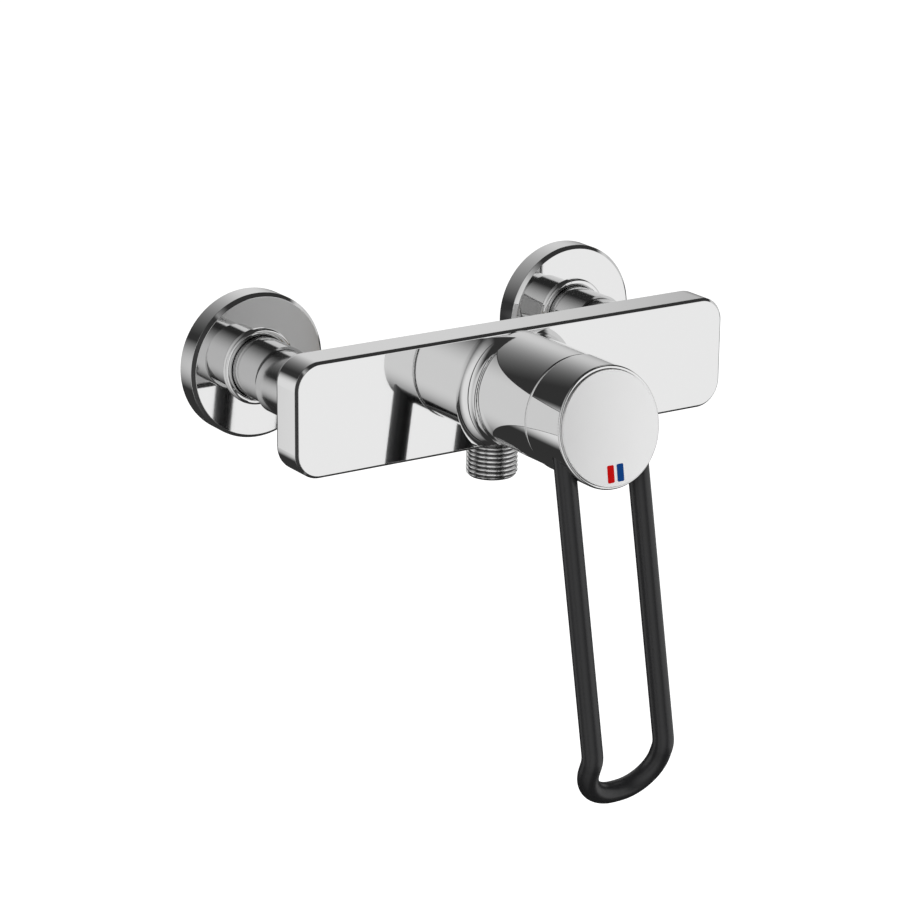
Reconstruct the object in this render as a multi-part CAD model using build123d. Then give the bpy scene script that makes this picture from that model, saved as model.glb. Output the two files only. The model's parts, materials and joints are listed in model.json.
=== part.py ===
from build123d import *
import math
import os

# Wall-mounted single-lever shower mixer.
# Millimetres. +Z up, +X right, the front faces -Y.
# Origin: midway between the two wall inlets, on the wall plane (y = 0).

# Wall side
inlet_spacing = 153.0           # between the two wall inlets
thread_radius = 10.4775         # crest radius of a G1/2 pipe thread
thread_pitch = 1.814            # G1/2, 14 threads per inch
thread_depth = 1.0
thread_crest = 0.45             # flat width of each crest
wall_thread_turns = 7
union_radius = 12.75            # round tube of the S-union
union_front = 30.2              # distance of its front shoulder from the wall
union_bore = 6.5
bore_turn = 7.0                 # where its two offset bores meet, behind the front shoulder
spigot_radius = 9.4             # narrow front end, inside the nut
spigot_length = 12.6
body_drop = 1.6                 # middle of the block below the wall inlets
fit_gap = 0.15                  # between parts that slide into each other

# Rosette
rosette_radius = 30.0
rosette_depth = 10.3
rosette_edge = 1.45             # bevel of the rim
rosette_wall = 1.6
collar_width = 3.05             # ring around the tube
collar_height = 1.8
collar_round = 1.25
collar_gap = 0.12               # between the tube and the rosette's bore
collar_length = 6.0             # of the guide behind the face
seal_groove_depth = 1.2
seal_gap = 0.02
seal_width = 1.9

# Union nut
nut_radius = 13.15
nut_shoulder_gap = 0.3          # from the tube's shoulder to the nut
nut_wall = 1.7
nut_lip = 5.7                   # thickness of the rear lip
nut_edge = 0.6
nut_flats = 24.0                # across the spanner flats
nut_flats_length = 9.0
nut_gap = 0.6                   # to the block
ring_width = 2.0                # snap ring on the spigot
ring_groove_depth = 0.7
ring_slot = 4.0                 # opening of the snap ring
washer_thickness = 2.5

# Block
block_width = 202.2
block_height = 46.5
block_front = 82.7              # distance of the front face from the wall
block_depth = 16.3
block_corner = 10.7
block_edge = 1.1                # bevel of the front edges
block_rear_round = 2.2          # of the rear edges
edge_round = 0.2                # where a bevel meets its faces
block_wall = 2.6
cover_thickness = 1.5
cover_gap = 0.2

# Neck
neck_drop = 0.6                 # lever axis below the middle of the block
neck_radius = 23.05
neck_length = 39.9              # from the block's front to the seam
neck_flare = 6.0                # fillet from the neck into the block
neck_edge = 1.0
neck_wall = 3.55
mouth_wall = 2.45               # where the retaining nut is screwed in
mouth_depth = 15.6

# Waterway
bar_height = 24.0
bar_end_gap = 9.5               # from the bar's ends to the inside of the block
bar_gap = 0.1                   # from its front face to the inside of the block
bar_corner = 4.0
channel_radius = 4.6
stub_bore = 7.6
stub_bore_depth = 17.0
cup_gap = 0.2
cup_wall = 1.7
port_radius = 3.4
port_offset = 7.5
outlet_setback = 1.4            # outlet axis behind the back of the block
outlet_boss_wall = 3.6
outlet_boss_rise = 10.0         # top of the boss above the middle of the block
outlet_bore = 7.5

# Outlet nipple
nipple_flange_width = 1.8
nipple_flange = 2.4
nipple_length = 15.75           # below the flange
nipple_turns = 7
nipple_spigot_radius = 9.6
nipple_spigot = 11.0
nipple_chamfer = 0.9
nipple_relief = 1.2             # plain neck between flange and thread
o_ring = 1.0                    # section radius of the outlet seal

# Check valves
valve_length = 14.5
valve_wall = 1.2
poppet_gap = 0.8                # around the poppet's head
poppet_stroke = 2.2
poppet_stem = 1.05
spring_wire = 0.35
spring_radius = 2.9
spring_turns = 4

# Cartridge
pivot_depth = 10.0              # lever pivot behind the seam
seat_depth = 26.6               # seat of the cartridge behind the pivot
housing_wall = 2.0
housing_step = 1.4              # narrower front end of the housing
housing_reach = 4.4             # front end ahead of the pivot
base_thickness = 5.0
fixed_disc_thickness = 3.5
moving_disc_thickness = 3.4
disc_gap = 0.05
disc_rest_lift = 2.0            # closed position of the moving disc above the axis
disc_play = 3.0                 # around the moving disc
slider_height = 6.2
carrier_shoulder = 2.8          # from the flange in to the front part
carrier_lip = 0.9               # front of the flange ahead of the pivot, inwards
carrier_back_reach = 7.6
carrier_front_reach = 5.9
pin_radius = 1.5
pin_inset = 1.0                 # its ends below the carrier's surface
pin_gap = 0.05
stem_width = 8.0
stem_height = 7.0
stem_cover = 7.1                # end of the stem behind the hub's front face
stem_ball_radius = 3.0
stem_arm = 9.6                  # from the pivot back to the ball
stem_arm_half = 1.9
stem_gap = 0.25
slot_gap = 1.2                  # around the stem where it tilts
lift_angle = 25.0               # degrees, from closed to fully open
retainer_depth = 5.0            # front of the retaining nut behind the seam
glide_gap = 0.4                 # between the glide ring and the hub's hollow
glide_reach = 13.5              # front of the glide ring ahead of the pivot
glide_wall = 4.05

# Lever
hub_overhang = 0.4              # hub's radius over the neck's
hub_length = 22.8               # on the axis, from the seam to the front face
seam_gap = 0.5
face_lean = 11.5                # degrees, the top of the face leans to the wall
hub_edge = 0.8
hub_rear_edge = 0.6
sweep_gap = 0.25                # between the neck's end and the hub's hollow
hub_floor_reach = 16.4          # floor of the hollow's lower half, ahead of the pivot
cap_ring = 1.15                 # rim of the hub around the cap
cap_gap = 0.12
cap_depth = 2.4                 # recess of the cap behind the front face
cap_raise = 0.9                 # edge of the cap's dome ahead of the hub's front face
cap_dome = 0.6                  # rise of the dome at its middle
cap_edge = 0.3
boss_wall = 4.8                 # around the stem's socket
rod_radius = 4.25
rod_spacing = 33.8
rod_depth = 7.8                 # rod axis behind the front face
rod_top = 5.0                   # rod ends below the lever axis
rod_socket_gap = 0.1
loop_reach = 129.2              # along the rods, from the axis level to the bend
loop_bend = 34.0                # degrees back towards the wall
loop_bend_radius = 8.0
loop_end_straight = 3.2
loop_end_radius = 15.7
mark_width = 3.1
mark_height = 6.9
mark_spacing = 4.45
mark_margin = 4.68              # from the middle of a mark to the cap's bottom edge
mark_corner = 0.6
mark_depth = 0.4
mark_proud = 0.04
set_screw_radius = 2.5
set_screw_length = 7.0
loop_screw_radius = 2.0
loop_screw_gap = 0.6
thread_gap = 0.05               # between a screw and its hole

# Screws in the back of the block
cover_screw_radius = 1.5
cover_screw_head = 2.8
cover_screw_x = 62.0
screw_post_radius = 3.3
bar_screw_x = 34.0
bar_screw_radius = 1.3
bar_screw_head = 2.3
bar_screw_head_height = 1.4

# Worked out from the sizes above
axis_z = -body_drop
lever_z = -body_drop - neck_drop
inlet_x = inlet_spacing / 2
spigot_end = union_front + spigot_length
stub_end = spigot_end + washer_thickness
collar_bore = union_radius + collar_gap
collar_radius = union_radius + collar_width
nut_rear = union_front + nut_shoulder_gap
nut_bore = nut_radius - nut_wall
ring_groove_radius = spigot_radius - ring_groove_depth
stub_radius = nut_bore - fit_gap
block_back = block_front - block_depth
block_bottom = axis_z - block_height / 2
inner_front = block_front - block_wall
neck_end = block_front + neck_length
neck_bore = neck_radius - neck_wall
neck_mouth = neck_radius - mouth_wall
neck_mouth_start = neck_end - mouth_depth
bar_front = inner_front - bar_gap
bar_back = block_back + cover_thickness + cover_gap
bar_width = block_width - 2 * block_wall - 2 * bar_end_gap
bar_screw_z = (channel_radius + bar_height / 2) / 2
outlet_axis = block_back - outlet_setback
outlet_boss_radius = nipple_spigot_radius + outlet_boss_wall
nipple_flange_radius = thread_radius + nipple_flange_width
valve_radius = stub_bore - fit_gap
poppet_radius = valve_radius - valve_wall - poppet_gap
pivot = neck_end - pivot_depth
cup_seat = pivot - seat_depth
cup_rim = neck_mouth_start - 1
cup_radius = neck_bore - cup_gap
cup_bore = cup_radius - cup_wall
housing_radius = cup_bore - fit_gap
housing_bore = housing_radius - housing_wall
housing_neck_radius = housing_radius - housing_step
housing_shoulder = neck_mouth_start + 1
housing_end = pivot + housing_reach
housing_lip = pivot - carrier_lip + fit_gap
base_radius = housing_radius
disc_back = cup_seat + base_thickness
slide_face = disc_back + fixed_disc_thickness + disc_gap
slider_back = slide_face + moving_disc_thickness
slider_front = slider_back + slider_height
fixed_disc_radius = housing_bore - 2 * fit_gap
moving_disc_radius = housing_bore - disc_play
slider_radius = moving_disc_radius - 2 * fit_gap
carrier_flange_radius = housing_bore - fit_gap
carrier_radius = carrier_flange_radius - carrier_shoulder
pin_length = 2 * (carrier_radius - pin_inset)
lift = math.radians(lift_angle)
arm_sink = stem_arm * math.sin(lift)
carrier_back = pivot - carrier_back_reach
carrier_front = pivot + carrier_front_reach
retainer_radius = neck_mouth - fit_gap
retainer_bore = housing_neck_radius + fit_gap
retainer_end = neck_end - retainer_depth
hub_front = neck_end + hub_length
hub_radius = neck_radius + hub_overhang
hub_rear = neck_end + seam_gap
hub_sweep = math.hypot(neck_radius - neck_edge, pivot_depth - neck_edge) + neck_edge + sweep_gap
cutter = 3 * hub_radius         # size of blocks that cut past everything
hub_floor = pivot + hub_floor_reach
glide_radius = hub_sweep - glide_gap
glide_skirt_radius = neck_mouth - fit_gap
glide_bore = glide_skirt_radius - glide_wall
stem_front = hub_front - stem_cover
boss_radius = stem_height / 2 + boss_wall
boss_back = hub_floor + 2 * fit_gap
cap_radius = hub_radius - cap_ring - cap_gap
mark_drop = cap_radius - mark_margin
lean = math.radians(face_lean)
face_plane = Plane(
    origin=(0, -hub_front, lever_z),
    x_dir=(1, 0, 0),
    z_dir=(0, -math.cos(lean), math.sin(lean)),
)


def disc_y(radius, near, far, x=0.0, z=0.0):
    """Cylinder along Y, between two distances from the wall."""
    plane = Plane(origin=(x, -near, z), x_dir=(1, 0, 0), z_dir=(0, -1, 0))
    return plane * Cylinder(radius, far - near, align=(Align.CENTER, Align.CENTER, Align.MIN))


def tube_y(outer, inner, near, far, x=0.0, z=0.0):
    """Tube along Y, between two distances from the wall."""
    overlap = 1.0
    return disc_y(outer, near, far, x, z) - disc_y(inner, near - overlap, far + overlap, x, z)


def disc_z(radius, low, high, x=0.0, y=0.0):
    return Pos(x, y, low) * Cylinder(radius, high - low, align=(Align.CENTER, Align.CENTER, Align.MIN))


def block(x0, x1, near, far, z0, z1):
    """Box between two X values, two distances from the wall and two heights."""
    return Pos((x0 + x1) / 2, -(near + far) / 2, (z0 + z1) / 2) * Box(x1 - x0, far - near, z1 - z0)


def turned_y(points, x=0.0, z=0.0):
    """Solid of revolution about Y from (radius, distance from the wall) points."""
    outline = Polyline(*[(r, -d, 0) for r, d in points], close=True)
    return Pos(x, 0, z) * revolve(make_face(outline), Axis.Y)


def thread_rings(start, turns):
    """(radius, distance) points of an annular thread with a number of grooves, crest first."""
    points = []
    flank = (thread_pitch - thread_crest) / 2
    for turn in range(turns):
        at = start + turn * thread_pitch
        points.append((thread_radius, at))
        points.append((thread_radius, at + thread_crest))
        points.append((thread_radius - thread_depth, at + thread_crest + flank))
    at = start + turns * thread_pitch
    points.append((thread_radius, at))
    points.append((thread_radius, at + thread_crest))
    return points


def bevelled(solid, size):
    """Bevel around the front face, slightly rounded where it meets the faces beside it."""
    solid = chamfer(solid.edges().group_by(Axis.Y)[0], size)
    lines = solid.edges().group_by(Axis.Y)
    front = lines[0]
    behind = [edge for edge in solid.edges() if abs(edge.center().Y - front[0].center().Y - size) < 0.01]
    return fillet(front + behind, edge_round)


def make_rosette(x):
    face = rosette_depth
    shell = disc_y(rosette_radius, 0, face, x)
    shell = bevelled(shell, rosette_edge)
    shell -= disc_y(rosette_radius - rosette_wall, -1, face - rosette_wall, x)
    collar = tube_y(collar_radius, collar_bore, face - rosette_wall, face + collar_height, x)
    collar = fillet(collar.edges().group_by(Axis.Y)[0], collar_round)
    guide = disc_y(collar_radius, face - rosette_wall - collar_length, face, x)
    bore = disc_y(collar_bore, -1, face + collar_height + 1, x)
    groove_front = face + collar_height - seal_width
    groove = disc_y(collar_bore + seal_groove_depth, groove_front - seal_width, groove_front, x)
    return shell + collar + guide - bore - groove


def make_rosette_seal(x):
    groove_front = rosette_depth + collar_height - seal_width
    outer = collar_bore + seal_groove_depth
    return tube_y(outer, union_radius + seal_gap, groove_front - seal_width, groove_front, x)


def make_s_union(x):
    rings = thread_rings(0, wall_thread_turns)
    wall_end = turned_y([(0, 0)] + rings + [(0, rings[-1][1])])
    wall_end = Pos(x, 0, 0) * mirror(wall_end, Plane.XZ)
    body = disc_y(union_radius, 0, union_front, x)
    spigot = disc_y(spigot_radius, union_front, spigot_end, x, axis_z)
    groove_at = nut_rear + nut_lip + fit_gap
    groove = tube_y(spigot_radius + 1, ring_groove_radius, groove_at, groove_at + ring_width, x, axis_z)
    meeting = union_front - bore_turn
    rear_bore = disc_y(union_bore, -rings[-1][1] - 1, meeting + 1, x)
    front_bore = disc_y(union_bore, meeting - 1, spigot_end + 1, x, axis_z)
    return wall_end + body + spigot - groove - rear_bore - front_bore


def make_nut(x):
    front = block_back - nut_gap
    nut = disc_y(nut_radius, nut_rear, front, x, axis_z)
    nut = fillet(nut.edges().group_by(Axis.Y)[-1], nut_edge)
    nut -= disc_y(spigot_radius + fit_gap, nut_rear - 1, nut_rear + nut_lip + 1, x, axis_z)
    nut -= disc_y(nut_bore, nut_rear + nut_lip, front + 1, x, axis_z)
    blank = disc_y(nut_radius + 2, front - nut_flats_length, front + 1, x, axis_z)
    keep = Pos(x, -front, axis_z) * Rot(90, 0, 0) * extrude(
        RegularPolygon(nut_flats / 2, 6, major_radius=False), 2 * nut_flats_length, both=True
    )
    return nut - (blank - keep)


def make_nut_ring(x):
    at = nut_rear + nut_lip + fit_gap
    ring = tube_y(nut_bore - fit_gap, ring_groove_radius + 0.05, at, at + ring_width - 0.1, x, axis_z)
    slot = block(x - ring_slot / 2, x + ring_slot / 2, at - 1, at + ring_width + 1, axis_z, axis_z + nut_bore + 1)
    return ring - slot


def make_union_washer(x):
    return tube_y(stub_radius - fit_gap, union_bore, spigot_end, stub_end, x, axis_z)


def make_body_shell():
    middle = Pos(0, -block_front, axis_z) * Rot(90, 0, 0)
    outline = middle * RectangleRounded(block_width, block_height, block_corner)
    slab = extrude(outline, -block_depth)
    slab = fillet(slab.edges().group_by(Axis.Y)[-1], block_rear_round)
    slab = bevelled(slab, block_edge)
    inner_width = block_width - 2 * block_wall
    inner_height = block_height - 2 * block_wall
    hollow = Pos(0, -inner_front, axis_z) * Rot(90, 0, 0) * RectangleRounded(
        inner_width, inner_height, block_corner - block_wall
    )
    slab -= extrude(hollow, -block_depth)

    # the neck with its concave flare, which ends at the block's top and bottom edges
    flare_end = block_front + neck_flare
    profile = make_face(
        [
            Line((0, -inner_front), (neck_radius + neck_flare, -inner_front)),
            Line((neck_radius + neck_flare, -inner_front), (neck_radius + neck_flare, -block_front)),
            RadiusArc(
                (neck_radius + neck_flare, -block_front), (neck_radius, -flare_end), -neck_flare
            ),
            Line((neck_radius, -flare_end), (neck_radius, -neck_end)),
            Line((neck_radius, -neck_end), (0, -neck_end)),
            Line((0, -neck_end), (0, -inner_front)),
        ]
    )
    neck = revolve(profile, Axis.Y)
    neck = fillet(neck.edges().group_by(Axis.Y)[0], neck_edge)
    neck = Pos(0, 0, lever_z) * neck
    half = block_height / 2 - block_edge - edge_round
    near_block = block(-cutter, cutter, inner_front - 1, flare_end, axis_z - half, axis_z + half)
    straight = disc_y(neck_radius, inner_front, flare_end, 0, lever_z)
    front_part = neck - block(-cutter, cutter, 0, flare_end, -cutter, cutter)
    neck = (neck & near_block) + front_part + straight
    shell = slab + neck

    # bores for the cartridge cup, the retaining nut and the outlet
    shell -= disc_y(neck_bore, block_back - 1, neck_mouth_start + 1, 0, lever_z)
    shell -= disc_y(neck_mouth, neck_mouth_start, neck_end + 1, 0, lever_z)
    shell -= disc_z(nipple_spigot_radius + 0.4, block_bottom - 2, block_bottom + 8, 0, -outlet_axis)
    shell -= disc_z(outlet_boss_radius + cover_gap, block_bottom - 2, axis_z, 0, -outlet_axis)

    # posts for the screws of the cover and of the waterway
    for x in (-cover_screw_x, cover_screw_x):
        for side in (-1, 1):
            z = axis_z + side * cover_post_offset()
            shell += disc_y(screw_post_radius, block_back + cover_thickness + cover_gap, inner_front, x, z)
            shell -= disc_y(cover_screw_radius, block_back - 1, inner_front - 1.5, x, z)
    for x in (-bar_screw_x, bar_screw_x):
        for z in (axis_z - bar_screw_z, axis_z + bar_screw_z):
            shell -= disc_y(bar_screw_radius, block_back, inner_front + 1.4, x, z)
    return shell


def cover_post_offset():
    """Height of the cover screws from the middle: between the bar and the block's wall."""
    return (bar_height / 2 + block_height / 2 - block_wall) / 2


def make_waterway():
    bar_middle = (bar_front + bar_back) / 2
    half = bar_height / 2
    bar = block(-bar_width / 2, bar_width / 2, bar_back, bar_front, axis_z - half, axis_z + half)
    bar = fillet(bar.edges().filter_by(Axis.Y), bar_corner)
    cup = disc_y(cup_radius, bar_back + 4, cup_rim, 0, lever_z)
    boss = disc_z(outlet_boss_radius, block_bottom, axis_z + outlet_boss_rise, 0, -outlet_axis)
    boss = fillet(boss.edges().group_by(Axis.Z)[-1], 3)
    casting = bar + cup + boss
    for x in (-inlet_x, inlet_x):
        casting += disc_y(stub_radius, stub_end, bar_front - 2, x, axis_z)
    # cut-outs: cartridge cup, inlets, channels and outlet
    casting -= disc_y(cup_bore, cup_seat, cup_rim + 1, 0, lever_z)
    for side in (-1, 1):
        x = side * inlet_x
        casting -= disc_y(stub_bore, stub_end - 1, stub_end + stub_bore_depth, x, axis_z)
        casting -= disc_y(channel_radius, stub_end, bar_middle, x, axis_z)
        run = abs(x) - port_offset
        channel = Pos(side * port_offset, -bar_middle, axis_z) * Rot(0, side * 90, 0)
        casting -= channel * Cylinder(channel_radius, run, align=(Align.CENTER, Align.CENTER, Align.MIN))
        casting -= disc_y(port_radius, bar_middle, cup_seat + 1, side * port_offset, port_height())
    outlet_port = outlet_port_height()
    casting -= disc_y(port_radius, outlet_axis, cup_seat + 1, 0, outlet_port)
    casting -= disc_z(outlet_bore, block_bottom - 1, outlet_port + 2, 0, -outlet_axis)
    casting -= disc_z(nipple_spigot_radius, block_bottom - 1, block_bottom + nipple_spigot + 0.4, 0, -outlet_axis)
    for x in (-bar_screw_x, bar_screw_x):
        for z in (axis_z - bar_screw_z, axis_z + bar_screw_z):
            casting -= disc_y(bar_screw_radius + 0.1, bar_back - 1, bar_front + 1, x, z)
            casting -= disc_y(bar_screw_head + 0.2, bar_back - 1, bar_back + bar_screw_head_height + 0.1, x, z)
    return casting


def port_height():
    return lever_z + 2.5


def outlet_port_height():
    return lever_z - port_offset - 1.5


def make_back_cover():
    width = block_width - 2 * block_wall - 2 * cover_gap
    height = block_height - 2 * block_wall - 2 * cover_gap
    outline = Pos(0, -block_back, axis_z) * Rot(90, 0, 0) * RectangleRounded(
        width, height, block_corner - block_wall - cover_gap
    )
    cover = extrude(outline, cover_thickness)
    for x in (-inlet_x, inlet_x):
        cover -= disc_y(stub_radius + cover_gap, 0, block_front, x, axis_z)
    notch_top = axis_z + outlet_boss_rise + cover_gap
    cover -= disc_z(outlet_boss_radius + cover_gap, block_bottom - 5, notch_top, 0, -outlet_axis)
    for x in (-cover_screw_x, cover_screw_x):
        for side in (-1, 1):
            cover -= disc_y(cover_screw_radius + 0.1, 0, block_front, x, axis_z + side * cover_post_offset())
    return cover


def screw_y(radius, head_radius, head_height, head_top, length, x, z):
    """Pan-head screw along Y with a cross recess, its head towards the wall."""
    shank = disc_y(radius, head_top + head_height, head_top + head_height + length, x, z)
    head = disc_y(head_radius, head_top, head_top + head_height, x, z)
    head = fillet(head.edges().group_by(Axis.Y)[-1], head_height * 0.5)
    slot = head_radius * 0.6
    recess = block(x - slot, x + slot, head_top - 1, head_top + head_height * 0.6, z - 0.3, z + 0.3)
    recess += block(x - 0.3, x + 0.3, head_top - 1, head_top + head_height * 0.6, z - slot, z + slot)
    return shank + head - recess


def make_cover_screws():
    head_height = 1.6
    length = inner_front - block_back - 4.7
    screws = []
    for x in (-cover_screw_x, cover_screw_x):
        for side in (-1, 1):
            z = axis_z + side * cover_post_offset()
            screws.append(
                screw_y(cover_screw_radius, cover_screw_head, head_height, block_back - head_height, length, x, z)
            )
    return Compound(children=screws)


def make_waterway_screws():
    head_top = bar_back + 0.1
    length = inner_front - head_top - bar_screw_head_height + 1.3
    screws = []
    for x in (-bar_screw_x, bar_screw_x):
        for z in (axis_z - bar_screw_z, axis_z + bar_screw_z):
            screws.append(
                screw_y(bar_screw_radius, bar_screw_head, bar_screw_head_height, head_top, length, x, z)
            )
    return Compound(children=screws)


def make_outlet_nipple():
    top = block_bottom
    flange_low = top - nipple_flange
    thread_start = nipple_relief
    rings = thread_rings(thread_start, nipple_turns)
    end = nipple_length
    points = [(outlet_bore - 0.3, -nipple_flange - nipple_spigot)]
    points.append((nipple_spigot_radius - 0.1, -nipple_flange - nipple_spigot))
    points.append((nipple_spigot_radius - 0.1, -nipple_flange))
    points.append((nipple_flange_radius, -nipple_flange))
    points.append((nipple_flange_radius, 0))
    points.append((thread_radius - thread_depth, 0))
    points.append((thread_radius - thread_depth, thread_start * 0.6))
    points += rings
    points.append((thread_radius - nipple_chamfer, end))
    points.append((outlet_bore - 0.3, end))
    outline = Polyline(*[(r, 0, -d) for r, d in points], close=True)
    nipple = Pos(0, -outlet_axis, flange_low) * revolve(make_face(outline), Axis.Z)
    # groove of the seal ring
    seal_z = top + nipple_spigot / 2
    groove = disc_z(nipple_spigot_radius + 1, seal_z - o_ring, seal_z + o_ring, 0, -outlet_axis)
    floor = nipple_spigot_radius - 2 * o_ring + 0.3
    groove -= disc_z(floor, seal_z - o_ring - 1, seal_z + o_ring + 1, 0, -outlet_axis)
    return nipple - groove


def make_outlet_seal():
    seal_z = block_bottom + nipple_spigot / 2
    outer = nipple_spigot_radius
    inner = nipple_spigot_radius - 2 * o_ring + 0.3
    seal = disc_z(outer, seal_z - o_ring + 0.1, seal_z + o_ring - 0.1, 0, -outlet_axis)
    return seal - disc_z(inner, seal_z - o_ring - 1, seal_z + o_ring + 1, 0, -outlet_axis)


def valve_start():
    return stub_end + 0.6


def seat_face():
    return valve_start() + 3.0


def make_valve_body(x):
    start = valve_start()
    body = disc_y(valve_radius, start, start + valve_length, x, axis_z)
    body -= disc_y(valve_radius - valve_wall, seat_face(), start + valve_length - 2.0, x, axis_z)
    body -= disc_y(poppet_radius - poppet_gap, start - 1, seat_face(), x, axis_z)
    front = start + valve_length
    body -= tube_y(valve_radius - valve_wall - 0.4, 2.2, front - 3.0, front + 1, x, axis_z)
    # three ribs hold the guide of the poppet's stem
    guide_near = start + valve_length - 2.0
    for angle in (90, 210, 330):
        rib = block(0, valve_radius - valve_wall + 0.2, guide_near, start + valve_length, -0.6, 0.6)
        turned = Pos(x, 0, axis_z) * Rot(0, angle, 0) * rib
        body += turned
    return body - disc_y(poppet_stem + thread_gap, start, start + valve_length + 1, x, axis_z)


def make_poppet(x):
    face = seat_face()
    head = disc_y(poppet_radius, face, face + 1.2, x, axis_z)
    stem = disc_y(poppet_stem, face + 1.0, valve_start() + valve_length - 0.3, x, axis_z)
    return head + stem


def spring_ends():
    near = seat_face() + 1.2 + poppet_stroke + fit_gap + spring_wire
    far = valve_start() + valve_length - 2.0 - spring_wire
    return near, far


def make_valve_spring(x):
    near, far = spring_ends()
    path = Helix(pitch=(far - near) / spring_turns, height=far - near, radius=spring_radius)
    profile = Plane(origin=path @ 0, z_dir=path % 0) * Circle(spring_wire)
    coil = sweep(profile, path=path, is_frenet=True)
    return Pos(x, -near, axis_z) * Rot(90, 0, 0) * coil


def make_cartridge_base():
    base = disc_y(base_radius, cup_seat, disc_back, 0, lever_z)
    for x, z in port_places():
        base -= disc_y(port_radius, cup_seat - 1, disc_back + 1, x, z)
        base -= disc_y(port_radius + 1.2, cup_seat - 1, cup_seat + 1.2, x, z)
    return base


def port_places():
    return [(-port_offset, port_height()), (port_offset, port_height()), (0, outlet_port_height())]


def make_base_seals():
    seals = []
    for x, z in port_places():
        seals.append(tube_y(port_radius + 1.15, port_radius, cup_seat, cup_seat + 1.15, x, z))
    return Compound(children=seals)


def make_fixed_disc():
    disc = disc_y(fixed_disc_radius, disc_back, disc_back + fixed_disc_thickness, 0, lever_z)
    for x, z in port_places():
        disc -= disc_y(port_radius, disc_back - 1, slide_face + 1, x, z)
    return disc


def make_moving_disc():
    z = lever_z + disc_rest_lift
    disc = disc_y(moving_disc_radius, slide_face, slider_back, 0, z)
    pocket = disc_y(moving_disc_radius * 0.6, slide_face - 1, slide_face + moving_disc_thickness / 2, 0, z)
    return disc - pocket


def make_disc_slider():
    z = lever_z + disc_rest_lift
    slider = disc_y(slider_radius, slider_back, slider_front, 0, z)
    half = stem_ball_radius + 0.2
    wide = stem_width / 2 + stem_gap
    pocket = block(-wide, wide, slider_back + 0.8, slider_front + 1, lever_z - half, lever_z + half)
    return slider - pocket


def make_cartridge_housing():
    points = [
        (housing_bore, disc_back),
        (housing_radius, disc_back),
        (housing_radius, housing_shoulder),
        (housing_neck_radius, housing_shoulder),
        (housing_neck_radius, housing_end),
        (carrier_radius + fit_gap, housing_end),
        (carrier_radius + fit_gap, housing_lip),
        (housing_bore, housing_lip),
    ]
    return turned_y(points, 0, lever_z)


def make_carrier():
    points = [
        (0, carrier_back),
        (carrier_flange_radius, carrier_back),
        (carrier_flange_radius, pivot - carrier_lip),
        (carrier_radius, pivot - carrier_lip),
        (carrier_radius, carrier_front),
        (0, carrier_front),
    ]
    carrier = turned_y(points, 0, lever_z)
    half = stem_width / 2 + stem_gap
    # rear slot, in which the ball sinks as the lever is lifted
    low = lever_z - arm_sink - stem_ball_radius - slot_gap
    high = lever_z + stem_ball_radius + slot_gap
    carrier -= block(-half, half, carrier_back - 1, pivot, low, high)
    # front slot, in which the bar rises
    clear = stem_height / 2 + slot_gap
    rise = carrier_front_reach * math.tan(lift) + stem_height / 2 / math.cos(lift) + slot_gap
    carrier -= block(-half, half, pivot - clear, carrier_front + 1, lever_z - clear, lever_z + rise)
    return carrier - pin_hole(pin_radius, pin_length)


def pin_hole(radius, length):
    turn = Pos(0, -pivot, lever_z) * Rot(0, 90, 0)
    return turn * Cylinder(radius, length)


def make_pivot_pin():
    return pin_hole(pin_radius, pin_length)


def make_stem():
    half_width = stem_width / 2
    half_height = stem_height / 2
    bar = block(-half_width, half_width, pivot, stem_front, lever_z - half_height, lever_z + half_height)
    knuckle = pin_hole(half_height, stem_width)
    arm = block(-half_width, half_width, pivot - stem_arm, pivot, lever_z - stem_arm_half, lever_z + stem_arm_half)
    ball = Pos(0, -(pivot - stem_arm), lever_z) * Rot(0, 90, 0) * Cylinder(stem_ball_radius, stem_width)
    stem = bar + knuckle + arm + ball
    return stem - pin_hole(pin_radius + pin_gap, stem_width + 2)


def make_retaining_nut():
    nut = tube_y(retainer_radius, retainer_bore, housing_shoulder, retainer_end, 0, lever_z)
    notches = 6
    for index in range(notches):
        notch = block(-1.5, 1.5, retainer_end - 2.0, retainer_end + 1, retainer_bore - 1, retainer_bore + 2.2)
        nut -= Pos(0, 0, lever_z) * Rot(0, 360 / notches * index, 0) * notch
    return nut


def make_glide_ring():
    dome = Pos(0, -pivot, lever_z) * Sphere(glide_radius)
    band = disc_y(glide_radius, neck_end + thread_gap, pivot + glide_reach, 0, lever_z) & dome
    skirt = disc_y(glide_skirt_radius, retainer_end + 0.4, neck_end + 0.1, 0, lever_z)
    bore = disc_y(glide_bore, retainer_end - 1, pivot + glide_reach + 1, 0, lever_z)
    # clear of the neck's rounded end
    clear = tube_y(glide_radius + 1, neck_radius - neck_edge - 0.1, neck_end - 1, neck_end + 0.7, 0, lever_z)
    return band + skirt - bore - clear


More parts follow.
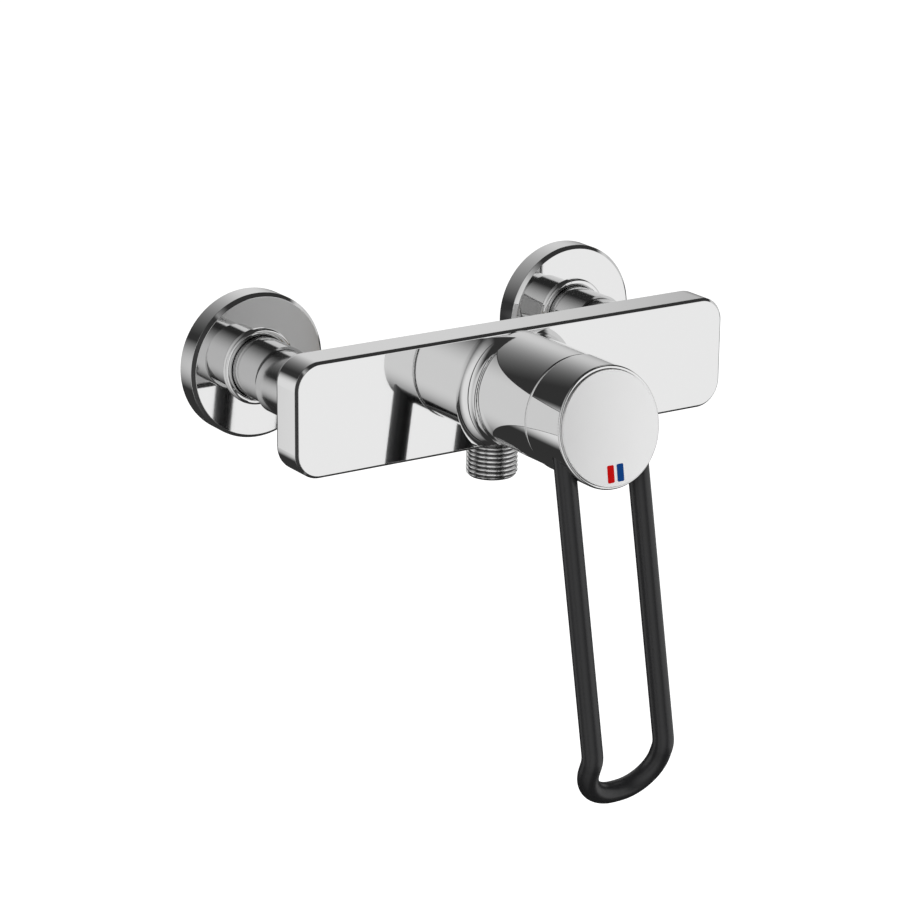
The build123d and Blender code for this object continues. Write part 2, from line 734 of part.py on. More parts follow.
def make_lever_hub():
    hub = disc_y(hub_radius, hub_rear, hub_front + hub_radius, 0, lever_z)
    hub -= face_plane * (Pos(0, 0, cutter / 2) * Box(cutter, cutter, cutter))
    hub = fillet(hub.edges().group_by(Axis.Y)[0], hub_edge)
    hub = fillet(hub.edges().group_by(Axis.Y)[-1], hub_rear_edge)

    # hollow: a sphere about the pivot, but solid in front of the lower half for the rods
    sphere = Pos(0, -pivot, lever_z) * Sphere(hub_sweep)
    kept_top = lever_z - rod_top + 2.5
    kept = block(-cutter, cutter, hub_floor, hub_front + cutter, lever_z - cutter, kept_top)
    boss = disc_y(boss_radius, boss_back, hub_front, 0, lever_z)
    hub -= sphere - kept - boss

    # recess of the cap
    hub -= disc_y(cap_radius + cap_gap, pivot, hub_front + cutter, 0, lever_z) - behind_face(cap_depth)
    # socket of the stem
    half_width = stem_width / 2 + fit_gap
    half_height = stem_height / 2 + fit_gap
    low = lever_z - half_height
    high = lever_z + half_height
    hub -= block(-half_width, half_width, boss_back - 1, stem_front + 0.3, low, high)
    # sockets of the rods
    for x in (-rod_spacing / 2, rod_spacing / 2):
        socket = rod_frame() * Pos(x, -rod_top + rod_socket_gap, 0) * Rot(90, 0, 0)
        hub -= socket * Cylinder(rod_radius + rod_socket_gap, cutter, align=(Align.CENTER, Align.CENTER, Align.MIN))
        hub -= disc_y(loop_screw_radius, pivot, rod_back(), x, loop_screw_z())
    hub -= disc_z(set_screw_radius, lever_z - hub_radius - 1, lever_z, 0, -set_screw_y())
    return hub


def behind_face(depth):
    """Everything more than a depth behind the leaning front face."""
    return face_plane * (Pos(0, 0, -depth - cutter / 2) * Box(cutter, cutter, cutter))


def rod_frame():
    """Plane of the two rods: x across, y up along the rods, its origin at the axis level."""
    return Plane(
        origin=(0, -hub_front + rod_depth / math.cos(lean), lever_z),
        x_dir=(1, 0, 0),
        z_dir=(0, -math.cos(lean), math.sin(lean)),
    )


def loop_screw_z():
    return lever_z - rod_top - 4.5


def rod_back():
    """Distance from the wall of the rods' rear side at the height of the loop screws."""
    drop = lever_z - loop_screw_z()
    axis_at = hub_front - rod_depth / math.cos(lean) + drop * math.tan(lean)
    return axis_at - rod_radius / math.cos(lean)


def set_screw_y():
    return (boss_back + stem_front) / 2 - 0.5


def make_hub_cap():
    cap = disc_y(cap_radius, pivot, hub_front + cutter, 0, lever_z) - behind_face(cap_depth)
    cap = cap & dome_ball(0)
    cap = fillet(cap.edges().filter_by(GeomType.LINE, reverse=True).group_by(Axis.Y)[0], cap_edge)
    for x in (-mark_spacing / 2, mark_spacing / 2):
        cap -= mark_prism(x) - dome_ball(-mark_depth)
    return cap


def mark_prism(x):
    face = RectangleRounded(mark_width, mark_height, mark_corner)
    return face_plane * (Pos(x, -mark_drop, -1) * extrude(face, 8))


def dome_ball(raised):
    """Ball whose surface is the cap's dome, raised by an offset."""
    dome_radius = (cap_radius**2 + cap_dome**2) / (2 * cap_dome)
    centre = Pos(0, 0, cap_raise + cap_dome - dome_radius)
    return face_plane * (centre * Rot(90, 0, 0) * Sphere(dome_radius + raised))


def make_mark(x):
    return (mark_prism(x) & dome_ball(mark_proud)) - dome_ball(-mark_depth)


def make_lever_loop():
    """Round rod: down one side, bent back to the wall, round the end and up the other side."""
    half = rod_spacing / 2
    bend = math.radians(loop_bend)
    down = -loop_reach
    # side view of one rod in the rod frame: y along the rod, z out of the face
    tangent = loop_bend_radius * math.tan(bend / 2)
    corner = Vector(0, down, 0)
    after = Vector(0, -math.cos(bend), -math.sin(bend))
    straight_end = Vector(0, down + tangent, 0)
    arc_end = corner + after * tangent
    turn_start = arc_end + after * loop_end_straight
    across = half - loop_end_radius
    low = turn_start + after * loop_end_radius
    diagonal = math.sqrt(0.5) * loop_end_radius
    edges = []
    for side in (-1, 1):
        shift = Vector(side * half, 0, 0)
        middle = Vector(side * (across + diagonal), 0, 0) + turn_start + after * diagonal
        rod = [
            Line(shift + Vector(0, -rod_top, 0), shift + straight_end),
            TangentArc(shift + straight_end, shift + arc_end, tangent=(0, -1, 0)),
            Line(shift + arc_end, shift + turn_start),
            ThreePointArc(shift + turn_start, middle, Vector(side * across, 0, 0) + low),
        ]
        edges.append(rod)
    bottom = Line(Vector(-across, 0, 0) + low, Vector(across, 0, 0) + low)
    path = Wire(edges[0] + [bottom] + edges[1])
    start = Plane(origin=(-half, -rod_top, 0), z_dir=(0, -1, 0))
    return rod_frame() * sweep(start * Circle(rod_radius), path=path)


def make_set_screw():
    top = lever_z - stem_height / 2
    y = set_screw_y()
    screw = disc_z(set_screw_radius - thread_gap, top - set_screw_length, top, 0, -y)
    socket = Pos(0, -y, top - set_screw_length - 1) * extrude(RegularPolygon(1.25, 6), 3.5)
    return screw - socket


def make_loop_screws():
    back = rod_back()
    screws = []
    for x in (-rod_spacing / 2, rod_spacing / 2):
        screw = disc_y(loop_screw_radius - thread_gap, hub_floor + 0.5, back - loop_screw_gap, x, loop_screw_z())
        socket = extrude(RegularPolygon(1.0, 6), 2.5)
        screw -= Pos(x, -hub_floor, loop_screw_z()) * Rot(90, 0, 0) * socket
        screws.append(screw)
    return Compound(children=screws)


def build():
    parts = {}
    for side, x in (("left", -inlet_x), ("right", inlet_x)):
        parts[f"rosette_{side}"] = make_rosette(x)
        parts[f"rosette_seal_{side}"] = make_rosette_seal(x)
        parts[f"s_union_{side}"] = make_s_union(x)
        parts[f"union_nut_{side}"] = make_nut(x)
        parts[f"nut_ring_{side}"] = make_nut_ring(x)
        parts[f"union_washer_{side}"] = make_union_washer(x)
        parts[f"check_valve_{side}"] = make_valve_body(x)
        parts[f"poppet_{side}"] = make_poppet(x)
        parts[f"valve_spring_{side}"] = make_valve_spring(x)
    parts["body_shell"] = make_body_shell()
    parts["waterway"] = make_waterway()
    parts["back_cover"] = make_back_cover()
    parts["cover_screws"] = make_cover_screws()
    parts["waterway_screws"] = make_waterway_screws()
    parts["outlet_nipple"] = make_outlet_nipple()
    parts["outlet_seal"] = make_outlet_seal()
    parts["cartridge_housing"] = make_cartridge_housing()
    parts["cartridge_base"] = make_cartridge_base()
    parts["base_seals"] = make_base_seals()
    parts["fixed_disc"] = make_fixed_disc()
    parts["moving_disc"] = make_moving_disc()
    parts["disc_slider"] = make_disc_slider()
    parts["carrier"] = make_carrier()
    parts["pivot_pin"] = make_pivot_pin()
    parts["stem"] = make_stem()
    parts["retaining_nut"] = make_retaining_nut()
    parts["glide_ring"] = make_glide_ring()
    parts["lever_hub"] = make_lever_hub()
    parts["hub_cap"] = make_hub_cap()
    parts["red_mark"] = make_mark(-mark_spacing / 2)
    parts["blue_mark"] = make_mark(mark_spacing / 2)
    parts["set_screw"] = make_set_screw()
    parts["lever_loop"] = make_lever_loop()
    parts["loop_screws"] = make_loop_screws()
    return parts


os.makedirs("parts", exist_ok=True)
for name, shape in build().items():
    export_step(shape, f"parts/{name}.step")
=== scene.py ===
import bmesh
import bpy
import json
import math
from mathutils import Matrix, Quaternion, Vector


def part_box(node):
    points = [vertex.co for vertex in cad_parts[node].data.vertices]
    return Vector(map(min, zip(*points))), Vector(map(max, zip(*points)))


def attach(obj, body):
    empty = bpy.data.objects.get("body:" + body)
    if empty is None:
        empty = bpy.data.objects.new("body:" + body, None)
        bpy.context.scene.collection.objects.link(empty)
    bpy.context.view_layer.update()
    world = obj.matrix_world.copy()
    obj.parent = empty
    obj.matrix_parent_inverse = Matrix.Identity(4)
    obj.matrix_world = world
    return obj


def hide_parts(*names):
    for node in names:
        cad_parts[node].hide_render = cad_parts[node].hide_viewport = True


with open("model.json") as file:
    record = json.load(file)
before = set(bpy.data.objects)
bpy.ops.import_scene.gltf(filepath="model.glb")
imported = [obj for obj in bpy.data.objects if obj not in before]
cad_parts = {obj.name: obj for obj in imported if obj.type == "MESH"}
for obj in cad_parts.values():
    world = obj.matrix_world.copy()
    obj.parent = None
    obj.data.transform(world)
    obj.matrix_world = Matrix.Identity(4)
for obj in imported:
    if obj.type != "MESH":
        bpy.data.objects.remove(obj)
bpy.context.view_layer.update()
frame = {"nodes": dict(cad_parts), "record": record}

# Camera, fitted to the photograph: degrees and metres, and millimetres for lens and sensor
CAMERA_AZIMUTH = 32.927
CAMERA_ELEVATION = 17.768
CAMERA_ROLL = 0.535
CAMERA_DISTANCE = 1.28948
CAMERA_TARGET = (0.002183, -0.0306, -0.04289)
CAMERA_LENS = 124.77
CAMERA_SENSOR = 36.0
CAMERA_CLIP = (0.05, 60.0)

# Outlet nipple, the sizes of its solid in metres
THREAD_PITCH = 0.001814
THREAD_RADIUS = 0.0104775
THREAD_DEPTH = 0.00105
NIPPLE_SPIGOT = 0.011
NIPPLE_SPIGOT_RADIUS = 0.0095
NIPPLE_FLANGE = 0.0024
NIPPLE_RELIEF = 0.0012
NIPPLE_BORE = 0.0072
SEAL_HALF = 0.001
SEAL_DEPTH = 0.0017
# What the helix adds: the bevels, the pitches over which the thread rises from its root, and the
# shares of half a pitch that the crest and the flank take
THREAD_LEAD_IN = 0.0012
THREAD_RUN_OUT = 0.8
CREST_SHARE = 0.18
FLANK_SHARE = 0.64
NIPPLE_EDGE = 0.00025
EDGE_CORNER = 0.3
POINTS_AROUND = 144
THREAD_ROWS = 130
SHARP_ANGLE = 40
# Painted shade in the thread's roots: its colour, and the share of the depth below the crest that
# stays unshaded
ROOT_PAINTED_SHADE = (0.1, 0.1, 0.1)
UNSHADED_SHARE = 0.35

# Handling marks: broad smudges, and wipe marks so many times finer
SMUDGE_DETAIL = 4.0
SMUDGE_ROUGHNESS = 0.6
WIPE_DETAIL = 2.0
WIPE_FINENESS = 22.0
WIPE_SHARE = 0.5

# Finishes: colour, mean roughness and how far the marks change it, scale of the marks, and where
# the surface is uneven its relief, with the depth in metres
METALS = {
    "polished_chrome": dict(colour=(0.835, 0.835, 0.835), roughness=0.035, spread=0.03, scale=40),
    "cap_chrome": dict(colour=(0.99, 0.99, 0.99), roughness=0.38, spread=0.05, scale=60),
    "union_chrome": dict(colour=(0.6, 0.6, 0.6), roughness=0.1, spread=0.04, scale=60),
    "thread_chrome": dict(colour=(0.9, 0.9, 0.9), roughness=0.2, spread=0.05, scale=60),
    "raw_brass": dict(
        colour=(0.62, 0.44, 0.17), roughness=0.4, spread=0.2, scale=90, relief=0.4, depth=0.0001
    ),
    "spring_steel": dict(colour=(0.55, 0.55, 0.55), roughness=0.25, spread=0.1, scale=150),
}
COATINGS = {
    "satin_black": dict(
        colour=(0.012, 0.012, 0.013), roughness=0.34, spread=0.08, scale=120, relief=0.15
    ),
    "white_plastic": dict(
        colour=(0.78, 0.78, 0.75), roughness=0.45, spread=0.1, scale=120, relief=0.2
    ),
    "light_plastic": dict(
        colour=(0.78, 0.78, 0.78), roughness=0.45, spread=0.1, scale=120, relief=0.2
    ),
    "grey_plastic": dict(
        colour=(0.02, 0.02, 0.021), roughness=0.5, spread=0.1, scale=120, relief=0.25
    ),
    "ceramic": dict(colour=(0.85, 0.85, 0.8), roughness=0.12, spread=0.04, scale=80),
    "black_rubber": dict(
        colour=(0.015, 0.015, 0.015), roughness=0.65, spread=0.1, scale=150, relief=0.3
    ),
    "red_enamel": dict(
        colour=(0.45, 0.002, 0.002), roughness=0.35, spread=0.05, scale=200, shine=0.06
    ),
    "blue_enamel": dict(
        colour=(0.002, 0.041, 0.18), roughness=0.35, spread=0.05, scale=200, shine=0.06
    ),
}
RELIEF_DEPTH = 0.00005
USUAL_SHINE = 0.5

# Floor, lamps and the even light of the surroundings
FLOOR_HEIGHT = -0.62
FLOOR_SIZE = 14.0
FLOOR_COLOUR = (0.85, 0.85, 0.85)
FLOOR_GLOW = 0.6
LAMP_AIM = (0, -0.05, -0.03)
LAMP_SIZE = 1.2
LAMPS = {
    "key_lamp": ((-1.2, -1.4, 1.6), 26.0),
    "fill_lamp": ((1.6, -1.2, 0.7), 14.0),
}
EVEN_LEVEL = 0.55

# Soft panels that the chrome reflects, in degrees as seen from the object: azimuth 0 is straight
# ahead of it and grows to the right, then elevation, then the soft edge and the grey level
REFLECTED_PANELS = {
    "front": (25, 62, -36, 22, 4, 0.96),
    "right": (58, 98, -36, 18, 10, 0.68),
    "far_right": (98, 124, -14, 16, 8, 0.6),
    "high_right": (94, 118, 50, 62, 8, 0.62),
}
# Large soft glow at the left: centre, radii, where it starts and ends to fade, and its level
LEFT_GLOW = ((-50, -10), (50, 60), 0.45, 1.5, 0.83)
# Narrow dark stripe down the left glow: its azimuth, half width without and with the soft edge,
# how dark it is, and how it bends to the right above an elevation
STRIPE_AZIMUTH = -61.0
STRIPE_WIDTHS = (2.4, 5.4)
STRIPE_DEPTH = 0.94
STRIPE_BEND = 0.0038
STRIPE_BEND_START = -20.0
DARK_LEVEL = 0.035

# Card behind the wall line, with soft glows: centre (x, z), radii, start and end of the fade,
# level, and tilt in degrees
CARD_DISTANCE = 0.45
CARD_HALF_WIDTH = 1.4
CARD_TOP = 1.1
CARD_ABOVE_FLOOR = 0.02
CARD_GLOWS = {
    "right": ((0.23, 0.20), (0.41, 0.27), 0.15, 1.60, 0.72, 0),
    "left": ((-0.80, -0.11), (0.38, 0.47), 0.90, 1.36, 0.82, 36),
    "far_right": ((1.45, -0.05), (0.6, 0.6), 0.5, 1.0, 0.6, 0),
}


def place_camera():
    azimuth = math.radians(CAMERA_AZIMUTH)
    elevation = math.radians(CAMERA_ELEVATION)
    ahead = Vector(
        (
            math.sin(azimuth) * math.cos(elevation),
            math.cos(azimuth) * math.cos(elevation),
            -math.sin(elevation),
        )
    )
    lens = bpy.data.cameras.new("camera")
    lens.lens = CAMERA_LENS
    lens.sensor_width = CAMERA_SENSOR
    lens.clip_start, lens.clip_end = CAMERA_CLIP
    camera = bpy.data.objects.new("camera", lens)
    bpy.context.scene.collection.objects.link(camera)
    camera.location = Vector(CAMERA_TARGET) - ahead * CAMERA_DISTANCE
    camera.rotation_mode = "QUATERNION"
    roll = Quaternion((0, 0, 1), math.radians(CAMERA_ROLL))
    camera.rotation_quaternion = (-ahead).to_track_quat("Z", "Y") @ roll
    bpy.context.scene.camera = camera


# Shader helpers


def add_node(tree, kind, **settings):
    node = tree.nodes.new(kind)
    for name, value in settings.items():
        setattr(node, name, value)
    return node


def maths(tree, operation, first, second=0.0):
    """A Math node; first and second are sockets or numbers."""
    node = add_node(tree, "ShaderNodeMath", operation=operation)
    for socket, value in zip(node.inputs, (first, second)):
        if isinstance(value, (int, float)):
            socket.default_value = value
        else:
            tree.links.new(value, socket)
    return node.outputs[0]


def split_coordinate(tree, kind):
    """X, Y and Z sockets of a texture coordinate."""
    place = add_node(tree, "ShaderNodeTexCoord")
    split = add_node(tree, "ShaderNodeSeparateXYZ")
    tree.links.new(place.outputs[kind], split.inputs[0])
    return split.outputs


def fade(tree, value, start, end):
    """1 up to a start, 0 from an end on."""
    ease = add_node(tree, "ShaderNodeMapRange", interpolation_type="SMOOTHSTEP")
    ease.inputs["From Min"].default_value = end
    ease.inputs["From Max"].default_value = start
    tree.links.new(value, ease.inputs["Value"])
    return ease.outputs["Result"]


def band(tree, value, low, high, edge):
    """1 between two values, with a soft edge outside them."""
    return maths(
        tree, "MULTIPLY", fade(tree, value, low, low - edge), fade(tree, value, high, high + edge)
    )


def distance(tree, across, up, centre, radii, tilt=0):
    """Distance of a point from a centre, in radii across and up, tilted by degrees."""
    aside = maths(tree, "SUBTRACT", across, centre[0])
    above = maths(tree, "SUBTRACT", up, centre[1])
    cosine = math.cos(math.radians(tilt))
    sine = math.sin(math.radians(tilt))
    aside_along = maths(tree, "MULTIPLY", aside, cosine)
    aside_over = maths(tree, "MULTIPLY", aside, sine)
    above_along = maths(tree, "MULTIPLY", above, cosine)
    above_over = maths(tree, "MULTIPLY", above, sine)
    turned = (
        maths(tree, "ADD", aside_along, above_over),
        maths(tree, "SUBTRACT", above_along, aside_over),
    )
    squares = []
    for value, radius in zip(turned, radii):
        offset = maths(tree, "DIVIDE", value, radius)
        squares.append(maths(tree, "MULTIPLY", offset, offset))
    return maths(tree, "SQRT", maths(tree, "ADD", *squares))


# Materials


def new_group(name, inputs, outputs):
    """A node group with named sockets; inputs are (name, type, default)."""
    group = bpy.data.node_groups.new(name, "ShaderNodeTree")
    for label, kind, default in inputs:
        socket = group.interface.new_socket(label, in_out="INPUT", socket_type=kind)
        socket.default_value = default
    for label, kind in outputs:
        group.interface.new_socket(label, in_out="OUTPUT", socket_type=kind)
    return group, group.nodes.new("NodeGroupInput"), group.nodes.new("NodeGroupOutput")


def handling_marks_group():
    """Soft smudges and fine wipe marks: a roughness that changes over the surface."""
    group, given, made = new_group(
        "handling_marks",
        [
            ("Roughness", "NodeSocketFloat", 0.1),
            ("Spread", "NodeSocketFloat", 0.05),
            ("Scale", "NodeSocketFloat", 60.0),
        ],
        [("Roughness", "NodeSocketFloat"), ("Height", "NodeSocketFloat")],
    )
    place = add_node(group, "ShaderNodeTexCoord")
    smudge = add_node(group, "ShaderNodeTexNoise")
    smudge.inputs["Detail"].default_value = SMUDGE_DETAIL
    smudge.inputs["Roughness"].default_value = SMUDGE_ROUGHNESS
    group.links.new(place.outputs["Object"], smudge.inputs["Vector"])
    group.links.new(given.outputs["Scale"], smudge.inputs["Scale"])
    wipe = add_node(group, "ShaderNodeTexNoise")
    wipe.inputs["Detail"].default_value = WIPE_DETAIL
    group.links.new(place.outputs["Object"], wipe.inputs["Vector"])
    wipe_scale = maths(group, "MULTIPLY", given.outputs["Scale"], WIPE_FINENESS)
    group.links.new(wipe_scale, wipe.inputs["Scale"])
    soft = maths(group, "SUBTRACT", smudge.outputs[0], 0.5)
    fine = maths(group, "SUBTRACT", wipe.outputs[0], 0.5)
    both = maths(group, "ADD", soft, maths(group, "MULTIPLY", fine, WIPE_SHARE))
    spread = maths(group, "MULTIPLY", both, given.outputs["Spread"])
    total = maths(group, "ADD", given.outputs["Roughness"], spread)
    group.links.new(maths(group, "MAXIMUM", total, 0.0), made.inputs["Roughness"])
    group.links.new(wipe.outputs[0], made.inputs["Height"])


def material(
    name, metallic, colour, roughness, spread, scale,
    relief=0.0, depth=RELIEF_DEPTH, shine=USUAL_SHINE,
):
    """A finish whose roughness and surface come from the handling marks."""
    finish = bpy.data.materials.new(name)
    finish.use_nodes = True
    tree = finish.node_tree
    shader = tree.nodes["Principled BSDF"]
    shader.inputs["Base Color"].default_value = (*colour, 1.0)
    shader.inputs["Metallic"].default_value = metallic
    shader.inputs["Specular IOR Level"].default_value = shine
    group = bpy.data.node_groups["handling_marks"]
    marks = add_node(tree, "ShaderNodeGroup", node_tree=group)
    marks.inputs["Roughness"].default_value = roughness
    marks.inputs["Spread"].default_value = spread
    marks.inputs["Scale"].default_value = scale
    tree.links.new(marks.outputs["Roughness"], shader.inputs["Roughness"])
    if relief:
        bump = add_node(tree, "ShaderNodeBump")
        bump.inputs["Strength"].default_value = relief
        bump.inputs["Distance"].default_value = depth
        tree.links.new(marks.outputs["Height"], bump.inputs["Height"])
        tree.links.new(bump.outputs["Normal"], shader.inputs["Normal"])
    return finish


def make_materials():
    handling_marks_group()
    finishes = {name: material(name, 1.0, **look) for name, look in METALS.items()}
    for name, look in COATINGS.items():
        finishes[name] = material(name, 0.0, **look)
    return finishes


def dress_cad_nodes(finishes):
    """Each CAD node gets the finish of its slot in the record; cap and unions get their own."""
    slots = {entry["node"]: entry["material_slot"] for entry in frame["record"]["subparts"]}
    for name, node in frame["nodes"].items():
        finish = finishes[slots[name]]
        if name == "hub_cap":
            finish = finishes["cap_chrome"]
        if name.startswith(("s_union", "union_nut")):
            finish = finishes["union_chrome"]
        node.data.materials.clear()
        node.data.materials.append(finish)


def paint_shade_in_roots(finish, centre):
    """Painted shade: the base colour goes dark towards the thread's roots in place of the shade
    there, and the crests stay bright.
    """
    tree = finish.node_tree
    shader = tree.nodes["Principled BSDF"]
    split = split_coordinate(tree, "Object")
    out = distance(tree, split["X"], split["Y"], centre, (THREAD_RADIUS, THREAD_RADIUS))
    share = THREAD_DEPTH / THREAD_RADIUS
    # Painted shade mask: 1 in the roots, 0 towards the crest
    painted_shade = fade(tree, out, 1 - share, 1 - UNSHADED_SHARE * share)
    blend = add_node(tree, "ShaderNodeMix", data_type="RGBA")
    blend.inputs["A"].default_value = shader.inputs["Base Color"].default_value
    blend.inputs["B"].default_value = (*ROOT_PAINTED_SHADE, 1.0)
    tree.links.new(painted_shade, blend.inputs["Factor"])
    tree.links.new(blend.outputs["Result"], shader.inputs["Base Color"])


# Outlet thread


def circle(radius, height):
    """Points of one turn at a height."""
    points = []
    for step in range(POINTS_AROUND):
        angle = 2 * math.pi * step / POINTS_AROUND
        points.append((radius * math.cos(angle), radius * math.sin(angle), height))
    return points


def ring_faces(rows, count):
    """Quads between rows of points that each go round once."""
    faces = []
    for row in range(rows - 1):
        for step in range(count):
            near = row * count + step
            beside = row * count + (step + 1) % count
            faces.append((near, beside, beside + count, near + count))
    return faces


def thread_profile(turn):
    """Height of a pipe thread over one pitch, 0 in the root to 1 on the crest, both rounded."""
    slope = abs(turn - math.floor(turn + 0.5)) * 2
    flank = (slope - CREST_SHARE) / FLANK_SHARE
    flank = min(1.0, max(0.0, flank))
    return 1.0 - flank * flank * (3 - 2 * flank) * 0.5 - flank * 0.5


def nipple_profile(top, flange):
    """Radius and height from the spigot's bore edge down to the thread's root at the flange."""
    flange_high = top - NIPPLE_SPIGOT
    flange_low = flange_high - NIPPLE_FLANGE
    seal_middle = flange_high + NIPPLE_SPIGOT / 2
    groove = NIPPLE_SPIGOT_RADIUS - SEAL_DEPTH
    corner = NIPPLE_EDGE * EDGE_CORNER
    return [
        (NIPPLE_BORE, top),
        (NIPPLE_SPIGOT_RADIUS - NIPPLE_EDGE, top),
        (NIPPLE_SPIGOT_RADIUS, top - NIPPLE_EDGE),
        (NIPPLE_SPIGOT_RADIUS, seal_middle + SEAL_HALF),
        (groove, seal_middle + SEAL_HALF),
        (groove, seal_middle - SEAL_HALF),
        (NIPPLE_SPIGOT_RADIUS, seal_middle - SEAL_HALF),
        (NIPPLE_SPIGOT_RADIUS, flange_high),
        (flange - NIPPLE_EDGE, flange_high),
        (flange - corner, flange_high - corner),
        (flange, flange_high - NIPPLE_EDGE),
        (flange, flange_low + NIPPLE_EDGE),
        (flange - corner, flange_low + corner),
        (flange - NIPPLE_EDGE, flange_low),
        (THREAD_RADIUS - THREAD_DEPTH, flange_low),
    ]


def thread_points(start, end):
    """Rows of points of the helix, from its start under the flange to the nipple's free end."""
    root = THREAD_RADIUS - THREAD_DEPTH
    points = []
    for row in range(THREAD_ROWS):
        height = start - (start - end) * row / (THREAD_ROWS - 1)
        risen = min(1.0, (start - height) / (THREAD_RUN_OUT * THREAD_PITCH))
        limit = THREAD_RADIUS - max(0.0, THREAD_LEAD_IN - (height - end))
        for step in range(POINTS_AROUND):
            angle = 2 * math.pi * step / POINTS_AROUND
            turn = (height - start) / THREAD_PITCH + step / POINTS_AROUND
            radius = min(root + THREAD_DEPTH * thread_profile(turn) * risen, limit)
            points.append((radius * math.cos(angle), radius * math.sin(angle), height))
    return points


def make_outlet_thread(finish):
    """Outlet nipple with a real helix, in place of the rings of the solid."""
    low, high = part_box("outlet_nipple")
    centre_x = (low[0] + high[0]) / 2
    centre_y = (low[1] + high[1]) / 2
    profile = nipple_profile(high[2], (high[0] - low[0]) / 2)
    inside = [
        (NIPPLE_BORE + NIPPLE_EDGE, low[2]),
        (NIPPLE_BORE, low[2] + NIPPLE_EDGE),
        (NIPPLE_BORE, high[2]),
    ]
    points = []
    for radius, height in profile:
        points += circle(radius, height)
    points += thread_points(high[2] - NIPPLE_SPIGOT - NIPPLE_FLANGE - NIPPLE_RELIEF, low[2])
    for radius, height in inside:
        points += circle(radius, height)
    placed = [(x + centre_x, y + centre_y, z) for x, y, z in points]
    rows = len(profile) + THREAD_ROWS + len(inside)
    mesh = bpy.data.meshes.new("outlet_thread")
    mesh.from_pydata(placed, [], ring_faces(rows, POINTS_AROUND))
    mesh.validate()
    mesh.update()
    piece = bpy.data.objects.new("outlet_thread", mesh)
    bpy.context.scene.collection.objects.link(piece)
    mesh.materials.append(finish)
    # Painted shade in the thread's roots, darkening the base colour by depth
    paint_shade_in_roots(finish, (centre_x, centre_y))
    smooth_by_angle(piece, SHARP_ANGLE)
    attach(piece, "body")
    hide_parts("outlet_nipple")


def smooth_by_angle(piece, degrees):
    """Smooth shading, with sharp edges where two faces meet at more than an angle."""
    work = bmesh.new()
    work.from_mesh(piece.data)
    bmesh.ops.remove_doubles(work, verts=work.verts, dist=1e-7)
    bmesh.ops.recalc_face_normals(work, faces=work.faces)
    limit = math.radians(degrees)
    for face in work.faces:
        face.smooth = True
    for line in work.edges:
        line.smooth = len(line.link_faces) == 2 and line.calc_face_angle() < limit
    work.to_mesh(piece.data)
    work.free()


# Studio


def reflected_light(tree, azimuth, elevation):
    """Grey level of the surroundings in reflections: panels, left glow and dark stripe."""
    level = DARK_LEVEL
    for left, right, low, high, edge, grey in REFLECTED_PANELS.values():
        across = band(tree, azimuth, left, right, edge)
        panel = maths(tree, "MULTIPLY", across, band(tree, elevation, low, high, edge))
        level = maths(tree, "MAXIMUM", maths(tree, "MULTIPLY", panel, grey), level)
    centre, radii, start, end, grey = LEFT_GLOW
    away = distance(tree, azimuth, elevation, centre, radii)
    glow = maths(tree, "MULTIPLY", fade(tree, away, start, end), grey)
    level = maths(tree, "MAXIMUM", glow, level)
    above = maths(tree, "SUBTRACT", elevation, STRIPE_BEND_START)
    risen = maths(tree, "MAXIMUM", above, 0.0)
    bent = maths(tree, "MULTIPLY", maths(tree, "MULTIPLY", risen, risen), STRIPE_BEND)
    aside = maths(tree, "SUBTRACT", maths(tree, "SUBTRACT", azimuth, STRIPE_AZIMUTH), bent)
    stripe = fade(tree, maths(tree, "ABSOLUTE", aside), *STRIPE_WIDTHS)
    shade = maths(tree, "SUBTRACT", 1.0, maths(tree, "MULTIPLY", stripe, STRIPE_DEPTH))
    return maths(tree, "MAXIMUM", maths(tree, "MULTIPLY", level, shade), DARK_LEVEL)


def studio_world():
    """White for the camera, soft panels for reflections and an even light for the rest."""
    world = bpy.data.worlds.new("studio")
    bpy.context.scene.world = world
    world.use_nodes = True
    tree = world.node_tree
    tree.nodes.clear()
    split = split_coordinate(tree, "Generated")
    ahead = maths(tree, "MULTIPLY", split["Y"], -1.0)
    degrees = 180 / math.pi
    azimuth = maths(tree, "MULTIPLY", maths(tree, "ARCTAN2", split["X"], ahead), degrees)
    elevation = maths(tree, "MULTIPLY", maths(tree, "ARCSINE", split["Z"]), degrees)
    path = add_node(tree, "ShaderNodeLightPath")
    even = add_node(tree, "ShaderNodeMix", data_type="FLOAT")
    even.inputs["A"].default_value = EVEN_LEVEL
    tree.links.new(path.outputs["Is Glossy Ray"], even.inputs["Factor"])
    tree.links.new(reflected_light(tree, azimuth, elevation), even.inputs["B"])
    white = maths(
        tree, "MAXIMUM", path.outputs["Is Camera Ray"], path.outputs["Is Transmission Ray"]
    )
    seen = maths(tree, "MAXIMUM", even.outputs["Result"], white)
    background = add_node(tree, "ShaderNodeBackground")
    tree.links.new(seen, background.inputs["Color"])
    output = add_node(tree, "ShaderNodeOutputWorld")
    tree.links.new(background.outputs[0], output.inputs["Surface"])


def flat_stage(name, corners, place, finish_name):
    """A flat stage piece at a place, with an empty material; gives the piece and its node tree."""
    mesh = bpy.data.meshes.new(name)
    mesh.from_pydata(corners, [], [(0, 1, 2, 3)])
    piece = bpy.data.objects.new(name, mesh)
    piece.location = place
    bpy.context.scene.collection.objects.link(piece)
    finish = bpy.data.materials.new(finish_name)
    finish.use_nodes = True
    finish.node_tree.nodes.clear()
    mesh.materials.append(finish)
    return piece, finish.node_tree


def show_surface(tree, shader):
    output = add_node(tree, "ShaderNodeOutputMaterial")
    tree.links.new(shader.outputs[0], output.inputs["Surface"])


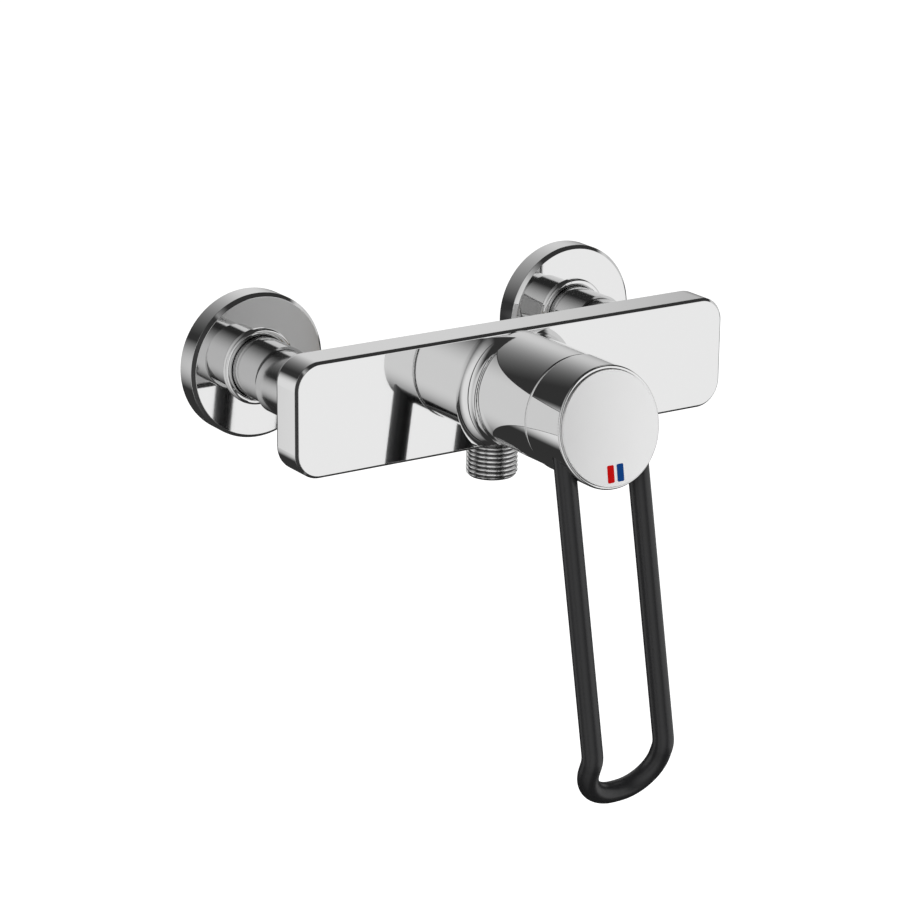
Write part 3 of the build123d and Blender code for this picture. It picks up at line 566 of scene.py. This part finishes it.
def studio_card():
    """Card behind the wall line with soft glows, which only reflections see."""
    side = CARD_HALF_WIDTH
    bottom = FLOOR_HEIGHT + CARD_ABOVE_FLOOR
    corners = [(-side, 0, bottom), (side, 0, bottom), (side, 0, CARD_TOP), (-side, 0, CARD_TOP)]
    card, tree = flat_stage("studio_card", corners, (0, CARD_DISTANCE, 0), "glowing_card")
    split = split_coordinate(tree, "Object")
    level = DARK_LEVEL
    for centre, radii, start, end, strength, tilt in CARD_GLOWS.values():
        away = distance(tree, split["X"], split["Z"], centre, radii, tilt)
        glow = maths(tree, "MULTIPLY", fade(tree, away, start, end), strength)
        level = maths(tree, "MAXIMUM", glow, level)
    emission = add_node(tree, "ShaderNodeEmission")
    tree.links.new(level, emission.inputs["Strength"])
    show_surface(tree, emission)
    card.visible_camera = False
    card.visible_diffuse = False
    card.visible_shadow = False
    card.visible_transmission = False


def studio_floor():
    """Pale floor, white to the camera, with the object's soft shadow; the chrome sees past it."""
    half = FLOOR_SIZE / 2
    corners = [(-half, -half, 0), (half, -half, 0), (half, half, 0), (-half, half, 0)]
    floor, tree = flat_stage("studio_floor", corners, (0, 0, FLOOR_HEIGHT), "pale_floor")
    diffuse = add_node(tree, "ShaderNodeBsdfDiffuse")
    diffuse.inputs["Color"].default_value = (*FLOOR_COLOUR, 1)
    glow = add_node(tree, "ShaderNodeEmission")
    path = add_node(tree, "ShaderNodeLightPath")
    shown = maths(tree, "MAXIMUM", path.outputs["Is Camera Ray"], path.outputs["Is Glossy Ray"])
    tree.links.new(maths(tree, "MULTIPLY", shown, FLOOR_GLOW), glow.inputs["Strength"])
    both = add_node(tree, "ShaderNodeAddShader")
    tree.links.new(diffuse.outputs[0], both.inputs[0])
    tree.links.new(glow.outputs[0], both.inputs[1])
    show_surface(tree, both)
    floor.visible_glossy = False


def soft_lamp(name, place, strength):
    """Square lamp that lights the object and isn't seen in reflections."""
    light = bpy.data.lights.new(name, "AREA")
    light.shape = "RECTANGLE"
    light.size = LAMP_SIZE
    light.size_y = LAMP_SIZE
    light.energy = strength
    lamp = bpy.data.objects.new(name, light)
    lamp.location = place
    lamp.rotation_mode = "QUATERNION"
    lamp.rotation_quaternion = (Vector(place) - Vector(LAMP_AIM)).to_track_quat("Z", "Y")
    lamp.visible_glossy = False
    bpy.context.scene.collection.objects.link(lamp)


def make_studio():
    studio_world()
    studio_floor()
    studio_card()
    for name, (place, strength) in LAMPS.items():
        soft_lamp(name, place, strength)
    bpy.context.scene.view_settings.view_transform = "Standard"


place_camera()
finishes = make_materials()
dress_cad_nodes(finishes)
make_outlet_thread(finishes["thread_chrome"])
make_studio()
